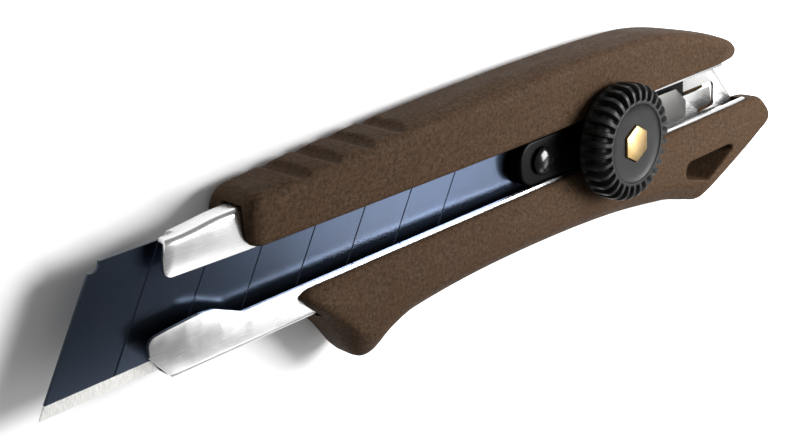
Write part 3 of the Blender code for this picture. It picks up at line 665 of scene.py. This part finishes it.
def grip_stations(start, end, steps):
    """X places and insets: a rounded nose, an even run, and a short rounded tail."""
    places = []
    for k in range(NOSE_STEPS):
        turn = math.radians(90 * k / NOSE_STEPS)
        places.append((start + NOSE_ROUND * (1 - math.cos(turn)),
                       NOSE_INSET * NOSE_ROUND * (1 - math.sin(turn))))
    first = start + NOSE_ROUND
    last = end - 0.0010
    for k in range(steps + 1):
        places.append((first + (last - first) * k / steps, 0.0))
    places.append((end - 0.0003, 0.0001))
    places.append((end, 0.00025))
    return places


def web_rings():
    """Rings of the web across the back: slanted nose, level run, tail that rises with the grip."""
    low_y = LOWER_EDGE_Y - 0.0052
    high_y = UPPER_EDGE_Y + 0.0027
    level_end = BACK_LIFT[0][0]
    ends = ((LOWER_NOSE_X + 0.0066, UPPER_NOSE_X + 0.0025), (level_end, level_end - 0.0030),
            (tail_line(low_y, 0.0056), tail_line(high_y, 0.0030)))
    rings = []
    for low_x, high_x in ends:
        low_z = BACK_Z + FIT_GAP + spline(BACK_LIFT, low_x)
        high_z = BACK_Z + FIT_GAP + spline(BACK_LIFT, high_x)
        rings.append([(low_x, low_y, low_z), (high_x, high_y, high_z),
                      (high_x, high_y, WEB_TOP_Z), (low_x, low_y, WEB_TOP_Z)])
    return rings


def make_grip():
    upper_places = grip_stations(UPPER_NOSE_X, UPPER_TAIL_X, UPPER_STEPS)
    lower_places = grip_stations(LOWER_NOSE_X, TAIL_END_X, LOWER_STEPS)
    grip = ring_loft("soft_grip", [upper_section(*place) for place in upper_places])
    lower = ring_loft("lower", [lower_section(*place) for place in lower_places])
    cutters = []
    for x in GROOVE_XS:
        centre = (x, spline(UPPER_TOP, x) + GROOVE_RADIUS - GROOVE_DEPTH)
        cutters.append(cylinder("groove", centre, GROOVE_RADIUS, -CUT, CUT))
    carve(grip, cutters)
    carve(lower, [prism("lanyard_hole", rounded(LANYARD_HOLE), -CUT, CUT)])
    carve(grip, [lower], "UNION")
    carve(grip, [ring_loft("web", web_rings())], "UNION")
    remesh = grip.modifiers.new("even_mesh", "REMESH")
    remesh.mode = "VOXEL"
    remesh.voxel_size = GRIP_VOXEL
    ease = grip.modifiers.new("soft_edges", "SMOOTH")
    ease.factor = 0.5
    ease.iterations = 6
    baked(grip)
    room = tail_outline(-FIT_GAP, SIDE_LOW_IN - SHEET - FIT_GAP,
                        SIDE_HIGH_IN + SHEET + FLARE + FIT_GAP, NOSE_X)
    carve(grip, [prism("sleeve_room", room, BACK_OUT - FIT_GAP, LIP_OUT + FIT_GAP)])
    return finish_piece(grip, GRIP, "handle", ("grip_skin",), smooth=50)


# ---- Slider -----------------------------------------------------------------------
PLATE_FRONT_X = RIDGE_REAR_X - 0.0060
PLATE_REAR_X = SLIDER_REAR_X - 0.0001
SHOULDER_X = SLIDER_NOSE_X + 0.0062
REAR_FRONT_X = RIDGE_REAR_X - 0.0070
BOSS_LOW_Z = 0.0010
SHOE_ROOM_X = 0.0039
SHOE_ROOM_Y = 0.0042
SHOE_ROOM_TOP_Z = 0.0013
DOME_HEIGHT = 0.0011
DOME_STEPS = 12


def make_slider():
    """Body under the lips, with a ridge in the slot, a flat rear and a boss for the wheel."""
    body = box("slider", (SHOULDER_X, SIDE_LOW_IN + FIT_GAP, FIT_GAP),
               (RIDGE_REAR_X, SIDE_HIGH_IN - FIT_GAP, LIP_IN - FIT_GAP))
    half = (SLOT_HIGH_Y - SLOT_LOW_Y) / 2 - FIT_GAP
    ridge_rear = RIDGE_REAR_X - JOIN_LAP
    outline = rounded([(SLIDER_NOSE_X, MID_Y - half, half), (ridge_rear, MID_Y - half, 0.0005),
                       (ridge_rear, MID_Y + half, 0.0005), (SLIDER_NOSE_X, MID_Y + half, half)],
                      16)
    ridge = soften(prism("ridge", outline, FIT_GAP + JOIN_LAP, RIDGE_TOP_Z), RIDGE_ROUND, 4, 60)
    rear = box("rear", (REAR_FRONT_X, SLOT_LOW_Y + FIT_GAP, FIT_GAP - JOIN_LAP),
               (SLIDER_REAR_X, SLOT_HIGH_Y - FIT_GAP, PLATE_SEAT_Z))
    boss = cylinder("boss", (WHEEL_X, MID_Y), BOSS_RADIUS, BOSS_LOW_Z, BOSS_TOP_Z)
    carve(body, [ridge, rear, boss], "UNION")
    carve(body, [cylinder("bore", (WHEEL_X, MID_Y), BOLT_RADIUS + FIT_GAP, -CUT, CUT),
                 cylinder("stud_bore", (STUD_X, MID_Y), STUD_RADIUS + FIT_GAP, -CUT, CUT),
                 box("shoe_room", (WHEEL_X - SHOE_ROOM_X, MID_Y - SHOE_ROOM_Y, -CUT),
                     (WHEEL_X + SHOE_ROOM_X, MID_Y + SHOE_ROOM_Y, SHOE_ROOM_TOP_Z)),
                 box("plate_slot",
                     (PLATE_FRONT_X - FIT_GAP, MID_Y - PLATE_HALF - FIT_GAP, PLATE_SEAT_Z),
                     (RIDGE_REAR_X + 0.002, MID_Y + PLATE_HALF + FIT_GAP,
                      PLATE_SEAT_Z + PLATE_THICK + 2 * FIT_GAP))])
    return finish_piece(body, BLACK, "slider", ("slider_body",))


def make_tail_plate():
    """Thin plate in the slider's rear, cut away on the side of the spine."""
    low = MID_Y - PLATE_HALF
    high = MID_Y + PLATE_HALF - 0.0012
    outline = rounded([(PLATE_FRONT_X, low, 0), (PLATE_REAR_X, low, 0.0012),
                       (PLATE_REAR_X, MID_Y - 0.0004, 0.0006),
                       (PLATE_REAR_X - 0.0035, high, 0.0006), (PLATE_FRONT_X, high, 0)])
    bottom = PLATE_SEAT_Z + FIT_GAP
    plate = prism("tail_plate", outline, bottom, bottom + PLATE_THICK)
    soften(plate, PLATE_ROUND, 2)
    return finish_piece(plate, PLATE, "slider", ("slider_tail_plate",))


def make_stud():
    """Pin through the blade's hole, with a domed head."""
    head = RIDGE_TOP_Z + FIT_GAP
    profile = [(STUD_RADIUS, -BLADE_THICK), (STUD_RADIUS, head), (STUD_HEAD_RADIUS, head)]
    for k in range(DOME_STEPS):
        turn = math.radians(90 * k / DOME_STEPS)
        profile.append((STUD_HEAD_RADIUS * math.cos(turn),
                        head + 0.0001 + DOME_HEIGHT * math.sin(turn)))
    stud = turned("stud", (STUD_X, MID_Y), profile)
    return finish_piece(stud, STUD, "slider", ("blade_stud",), smooth=60)


# ---- Lock wheel ---------------------------------------------------------------------
HEX_RADIUS = HEX_ACROSS / math.sqrt(3)
HEX_POCKET_RADIUS = HEX_RADIUS + HEX_GAP * 2 / math.sqrt(3)
HEAD_LOW_Z = WHEEL_TOP_Z - HEX_DEPTH
RIB_POINTS = 12
RING_STEPS = 4
DISH = ((WHEEL_FACE_RADIUS, 0.00004), (WHEEL_FACE_RADIUS - 0.00005, 0.00014),
        (WHEEL_FACE_RADIUS - 0.0004, 0.00032), (WHEEL_FACE_RADIUS - 0.0012, 0.00046),
        (0.0045, 0.00056), (0.0010, 0.0006))


def wheel_profiles():
    """(radius, z) of the rib crests and of the groove floors, from the rim's bottom up."""
    top = WHEEL_TOP_Z
    low = WHEEL_BOTTOM_Z
    rim = WHEEL_RADIUS
    root = rim - RIB_DEPTH
    face = WHEEL_FACE_RADIUS + 0.0002
    crest = [(rim - 0.0008, low), (rim - 0.0002, low + 0.0005), (rim, low + 0.0012),
             (rim, top - 0.0018), (rim - 0.0003, top - 0.0009), (rim - 0.0011, top - 0.0002),
             (rim - 0.0021, top), (face + 0.0003, top), (face, top)]
    floor = [(rim - 0.0008, low), (rim - 0.0002, low + 0.0005), (rim - 0.0004, low + 0.0012),
             (root, low + 0.0018), (root, top - 0.0022), (root - 0.0005, top - 0.0013),
             (face + 0.0006, top - 0.0008), (face + 0.0003, top - 0.0001), (face, top)]
    return crest, floor


def between(points, t):
    """Point at t along a run of (radius, z) points, through smooth curves."""
    radii = [(k, p[0]) for k, p in enumerate(points)]
    heights = [(k, p[1]) for k, p in enumerate(points)]
    return spline(radii, t), spline(heights, t)


def wheel_ring(crest, floor):
    """Ring of (radius, z) points that goes from crest to floor and back at every rib."""
    ring = []
    for k in range(RIBS * RIB_POINTS):
        share = (k % RIB_POINTS) / RIB_POINTS
        lift = min(1, max(0, 0.5 + 0.85 * math.cos(math.tau * share)))
        lift = lift * lift * (3 - 2 * lift)
        radius = floor[0] + (crest[0] - floor[0]) * lift
        z = floor[1] + (crest[1] - floor[1]) * lift
        turn = math.tau * k / (RIBS * RIB_POINTS)
        ring.append((WHEEL_X + radius * math.cos(turn), MID_Y + radius * math.sin(turn), z))
    return ring


def make_wheel():
    """Ribbed rim round a shallow dish, with a pocket for the hex head."""
    crest, floor = wheel_profiles()
    rings = []
    for j in range((len(crest) - 1) * RING_STEPS + 1):
        rings.append(wheel_ring(between(crest, j / RING_STEPS), between(floor, j / RING_STEPS)))
    for radius, drop in DISH:
        point = (radius, WHEEL_TOP_Z - drop)
        rings.append(wheel_ring(point, point))
    wheel = ring_loft("thumb_wheel", rings)
    carve(wheel, [cylinder("hex_pocket", (WHEEL_X, MID_Y), HEX_POCKET_RADIUS,
                           HEAD_LOW_Z - FIT_GAP, WHEEL_TOP_Z + CUT, 6),
                  cylinder("wheel_bore", (WHEEL_X, MID_Y), BOLT_RADIUS + FIT_GAP, 0, WHEEL_TOP_Z)])
    return finish_piece(wheel, WHEEL, "wheel", ("lock_wheel",), smooth=40)


def make_bolt():
    """Hex head in the wheel, and its plain shank."""
    bolt = cylinder("hex_screw", (WHEEL_X, MID_Y), HEX_RADIUS, HEAD_LOW_Z, WHEEL_TOP_Z - 0.0001, 6)
    soften(bolt, HEX_ROUND, 2)
    shank = cylinder("shank", (WHEEL_X, MID_Y), BOLT_RADIUS, BACK_IN + 2 * FIT_GAP,
                     HEAD_LOW_Z + 0.0005)
    carve(bolt, [shank], "UNION")
    return finish_piece(bolt, BRASS, "wheel", ("lock_bolt",))


def dress_kept_nodes():
    """CAD pieces that keep their shape get a finish of their own."""
    for name, mat in (("handle_frame", BLACK), ("clamp_shoe", PLATE), ("wheel_washer", PLATE)):
        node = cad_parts[name]
        node.data.materials.clear()
        node.data.materials.append(mat)


# ---- Stage ------------------------------------------------------------------------------
FLOOR_HALF = 2
SENSOR_MM = 36
LENS_MM = 53.53
CAMERA_PLACE = Vector((-0.0544, 0.0730, 0.1286))
CAMERA_FORWARD = Vector((0.6352, -0.3524, -0.6873))
CAMERA_UP = Vector((0.2935, 0.9332, -0.2072))
WORLD_STRENGTH = 0.26
# name, place, the point it faces, size, power
LIGHTS = (("key", (0.12, 0.04, 0.18), (0.03, 0.0, 0.0), (0.12, 0.12), 1.05),
          ("blade_box", (0.210, -0.125, 0.24), (0.0, 0.0, 0.0), (0.12, 0.09), 0.13),
          ("tail_box", (0.36, -0.09, 0.18), (0.0, 0.0, 0.0), (0.16, 0.12), 0.07),
          ("edge_box", (0.11, -0.30, 0.26), (0.0, 0.0, 0.0), (0.16, 0.16), 0.17))


def make_floor():
    """Plain pale paper under the knife."""
    corners = [(-FLOOR_HALF, -FLOOR_HALF, 0), (FLOOR_HALF, -FLOOR_HALF, 0),
               (FLOOR_HALF, FLOOR_HALF, 0), (-FLOOR_HALF, FLOOR_HALF, 0)]
    floor = new_object("floor", mesh_from("floor", corners, [(0, 1, 2, 3)]))
    finish = Finish("floor_paper", (0.9, 0.9, 0.9), 0.9)
    finish.color(finish.blend(finish.noise(0.02, 2.0), (0.90, 0.90, 0.90), (0.93, 0.93, 0.93)))
    floor.data.materials.append(finish.mat)


def make_camera():
    """View from above and ahead of the blade's tip, in the knife's own axes."""
    data = bpy.data.cameras.new("camera")
    data.sensor_width = SENSOR_MM
    data.lens = LENS_MM
    data.clip_start = 0.001
    camera = new_object("camera", data)
    forward = CAMERA_FORWARD.normalized()
    right = forward.cross(CAMERA_UP).normalized()
    up = right.cross(forward)
    turn = Matrix((right, up, -forward)).transposed().to_4x4()
    camera.matrix_world = Matrix.Translation(ORIGIN + CAMERA_PLACE) @ turn
    bpy.context.scene.camera = camera


def area_light(name, place, aim, size, power):
    """Soft box at a place in the frame, turned to the point it faces."""
    data = bpy.data.lights.new(name, "AREA")
    data.shape = "RECTANGLE"
    data.size = size[0]
    data.size_y = size[1]
    data.energy = power
    light = new_object(name, data)
    light.visible_camera = False
    light.location = place
    light.rotation_mode = "QUATERNION"
    light.rotation_quaternion = (Vector(aim) - Vector(place)).to_track_quat("-Z", "Y")


def make_lights():
    """Soft boxes and an even white surround."""
    for light in LIGHTS:
        area_light(*light)
    bpy.context.scene.view_settings.view_transform = "Standard"
    world = bpy.data.worlds.new("studio")
    bpy.context.scene.world = world
    world.use_nodes = True
    background = world.node_tree.nodes["Background"]
    background.inputs["Color"].default_value = (1, 1, 1, 1)
    background.inputs["Strength"].default_value = WORLD_STRENGTH


make_blade()
make_sleeve()
make_grip()
make_slider()
make_tail_plate()
make_stud()
make_wheel()
make_bolt()
dress_kept_nodes()
make_floor()
make_camera()
make_lights()
